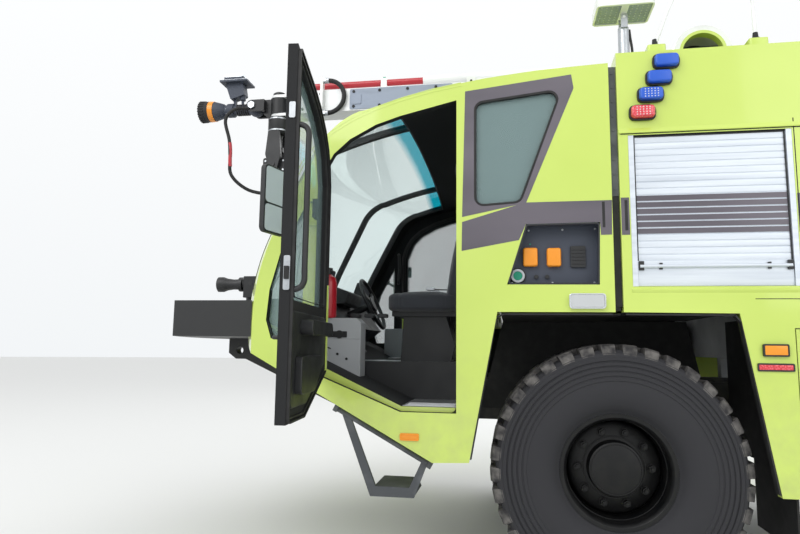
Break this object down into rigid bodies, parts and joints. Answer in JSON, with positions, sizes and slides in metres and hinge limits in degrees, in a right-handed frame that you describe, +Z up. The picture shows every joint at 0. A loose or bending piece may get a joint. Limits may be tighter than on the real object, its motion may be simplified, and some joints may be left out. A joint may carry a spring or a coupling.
{
  "type": "airport fire truck",
  "caption": "Airport crash tender with a glazed cab, roller-shutter body, driven axles, bumper turret, light mast and a folding high-reach boom along the roof.",
  "frame": {"origin": "on the ground under the middle of the front axle", "axes": "-X forward, -Y the driver's side, +Z up"},
  "size_m": [12.42, 4.3397, 3.7748],
  "materials": {
    "lime_paint": "gloss lime-yellow enamel",
    "chassis_black": "satin black chassis paint",
    "grey_steel": "satin grey paint",
    "engine_grey": "painted cast iron",
    "grey_tank": "moulded grey plastic",
    "wheel_black": "satin black enamel",
    "tyre_rubber": "moulded tyre rubber",
    "black_rubber": "moulded rubber sheet",
    "black_plastic": "grained black plastic",
    "seat_fabric": "woven seat cloth",
    "tinted_glass": "green-tinted laminated glass",
    "clear_lens": "clear moulded lens",
    "blue_lens": "blue moulded lens",
    "amber_lens": "amber moulded lens",
    "tread_plate": "aluminium tread plate",
    "silver_slat": "satin anodised aluminium",
    "boom_white": "gloss white enamel",
    "chrome_rod": "hard chrome"
  },
  "bodies": {
    "chassis": {"frame": "chassis_black", "crossmembers": "chassis_black", "springs": "chassis_black", "front_axle": "chassis_black", "rear_axles": "chassis_black", "cab": "lime_paint", "windscreen": "tinted_glass", "side_glass": "tinted_glass", "dash": "black_plastic", "steering_wheel": "black_plastic", "seats": "seat_fabric", "bumper": "black_plastic", "headlamps": "clear_lens", "mirrors": "black_plastic", "body": "lime_paint", "roof_deck": "tread_plate", "tank": "grey_tank", "roller_doors": "silver_slat", "side_lockers": "lime_paint", "engine_grilles": "black_plastic", "engine": "engine_grey", "warning_lamps": "blue_lens", "marker_lamps": "amber_lens", "mudflaps": "black_rubber", "mast_tube": "grey_steel", "rear_ladder": "silver_slat", "boom_rest": "black_plastic"},
    "steer_knuckle_l": {"knuckle_l": "chassis_black"},
    "steer_knuckle_r": {"knuckle_r": "chassis_black"},
    "road_wheel_1l": {"wheel_1l": "wheel_black", "tyre_1l": "tyre_rubber"},
    "road_wheel_1r": {"wheel_1r": "wheel_black", "tyre_1r": "tyre_rubber"},
    "road_wheel_2l": {"wheel_2l": "wheel_black", "tyre_2l": "tyre_rubber"},
    "road_wheel_2r": {"wheel_2r": "wheel_black", "tyre_2r": "tyre_rubber"},
    "road_wheel_3l": {"wheel_3l": "wheel_black", "tyre_3l": "tyre_rubber"},
    "road_wheel_3r": {"wheel_3r": "wheel_black", "tyre_3r": "tyre_rubber"},
    "driver_door": {"door_l": "lime_paint", "door_glass_l": "tinted_glass"},
    "passenger_door": {"door_r": "lime_paint", "door_glass_r": "tinted_glass"},
    "folding_step_l": {"step_l": "grey_steel"},
    "folding_step_r": {"step_r": "grey_steel"},
    "turntable": {"turntable": "lime_paint"},
    "lower_boom": {"lower_boom": "lime_paint"},
    "upper_boom": {"upper_boom": "boom_white"},
    "inner_boom": {"inner_boom": "boom_white"},
    "boom_head": {"boom_head": "chassis_black"},
    "boom_nozzle": {"boom_nozzle": "black_plastic"},
    "lift_barrels": {"lift_barrels": "grey_steel"},
    "lift_rods": {"lift_rods": "chrome_rod"},
    "turret_base": {"turret_base": "chassis_black"},
    "turret_nozzle": {"turret_nozzle": "black_plastic"},
    "mast": {"mast": "silver_slat"},
    "mast_lamp": {"mast_lamp": "clear_lens"}
  },
  "joints": [
    {"name": "steer_l", "type": "hinge", "parent": "chassis", "child": "steer_knuckle_l", "pos_m": [0, -1.01, 0.69], "axis": [0, 0, 1], "range_deg": [-28, 28]},
    {"name": "steer_r", "type": "hinge", "parent": "chassis", "child": "steer_knuckle_r", "pos_m": [0, 1.01, 0.69], "axis": [0, 0, 1], "range_deg": [-28, 28]},
    {"name": "roll_1l", "type": "hinge", "parent": "steer_knuckle_l", "child": "road_wheel_1l", "pos_m": [0, -1.2, 0.69], "axis": [0, 1, 0], "continuous": true},
    {"name": "roll_1r", "type": "hinge", "parent": "steer_knuckle_r", "child": "road_wheel_1r", "pos_m": [0, 1.2, 0.69], "axis": [0, 1, 0], "continuous": true},
    {"name": "roll_2l", "type": "hinge", "parent": "chassis", "child": "road_wheel_2l", "pos_m": [4.9, -1.2, 0.69], "axis": [0, 1, 0], "continuous": true},
    {"name": "roll_2r", "type": "hinge", "parent": "chassis", "child": "road_wheel_2r", "pos_m": [4.9, 1.2, 0.69], "axis": [0, 1, 0], "continuous": true},
    {"name": "roll_3l", "type": "hinge", "parent": "chassis", "child": "road_wheel_3l", "pos_m": [6.55, -1.2, 0.69], "axis": [0, 1, 0], "continuous": true},
    {"name": "roll_3r", "type": "hinge", "parent": "chassis", "child": "road_wheel_3r", "pos_m": [6.55, 1.2, 0.69], "axis": [0, 1, 0], "continuous": true},
    {"name": "driver_door_hinge", "type": "hinge", "parent": "chassis", "child": "driver_door", "pos_m": [-1.698, -1.539, 1.75], "axis": [0, 0, 1], "range_deg": [0, 85]},
    {"name": "passenger_door_hinge", "type": "hinge", "parent": "chassis", "child": "passenger_door", "pos_m": [-1.698, 1.539, 1.75], "axis": [0, 0, 1], "range_deg": [0, 85]},
    {"name": "step_fold_l", "type": "hinge", "parent": "chassis", "child": "folding_step_l", "pos_m": [-1.06815, -1.465, 0.71963], "axis": [-0.8799, 0, 0.4751], "range_deg": [0, 75]},
    {"name": "step_fold_r", "type": "hinge", "parent": "chassis", "child": "folding_step_r", "pos_m": [-1.06815, 1.465, 0.71963], "axis": [0.8799, 0, -0.4751], "range_deg": [0, 75]},
    {"name": "boom_swivel", "type": "hinge", "parent": "chassis", "child": "turntable", "pos_m": [1.35, 0, 3.03], "axis": [0, 0, 1], "range_deg": [-30, 30]},
    {"name": "boom_lift", "type": "hinge", "parent": "turntable", "child": "lower_boom", "pos_m": [1.35, 0, 3.195], "axis": [0, -1, 0], "range_deg": [0, 50]},
    {"name": "boom_unfold", "type": "hinge", "parent": "lower_boom", "child": "upper_boom", "pos_m": [7.45, 0, 3.44], "axis": [0, 1, 0], "range_deg": [0, 80]},
    {"name": "cylinder_tilt", "type": "hinge", "parent": "turntable", "child": "lift_barrels", "pos_m": [1.95, 0, 3.09], "axis": [0, -1, 0], "range_deg": [0, 69.2]},
    {"name": "cylinder_stroke", "type": "slide", "parent": "lift_barrels", "child": "lift_rods", "axis": [0.995, 0, 0.0995], "range_m": [0, 0.408]},
    {"name": "boom_extend", "type": "slide", "parent": "upper_boom", "child": "inner_boom", "axis": [-1, 0, 0], "range_m": [0, 3]},
    {"name": "head_pan", "type": "hinge", "parent": "inner_boom", "child": "boom_head", "pos_m": [-2.57, 0, 3.445], "axis": [0, 0, 1], "range_deg": [-75, 75]},
    {"name": "nozzle_tilt", "type": "hinge", "parent": "boom_head", "child": "boom_nozzle", "pos_m": [-2.79, 0, 3.445], "axis": [0, 1, 0], "range_deg": [-60, 40]},
    {"name": "turret_pan", "type": "hinge", "parent": "chassis", "child": "turret_base", "pos_m": [-2.73, 0, 1.62], "axis": [0, 0, 1], "range_deg": [-80, 80]},
    {"name": "turret_elevate", "type": "hinge", "parent": "turret_base", "child": "turret_nozzle", "pos_m": [-2.73, 0, 1.8703], "axis": [0, 1, 0], "range_deg": [-15, 60]},
    {"name": "mast_raise", "type": "slide", "parent": "chassis", "child": "mast", "axis": [0, 0, 1], "range_m": [0, 1.1]},
    {"name": "mast_lamp_tilt", "type": "hinge", "parent": "mast", "child": "mast_lamp", "pos_m": [0.16, -1.125, 3.44], "axis": [0, 1, 0], "range_deg": [-80, 80]}
  ],
  "couplings": [
    {"joint": "steer_r", "follows": "steer_l", "ratio": 1},
    {"joint": "boom_unfold", "follows": "boom_lift", "ratio": 1.6},
    {"joint": "cylinder_tilt", "follows": "boom_lift", "ratio": 1.3636},
    {"joint": "cylinder_stroke", "follows": "boom_lift", "m_per_rad": 0.45587}
  ]
}
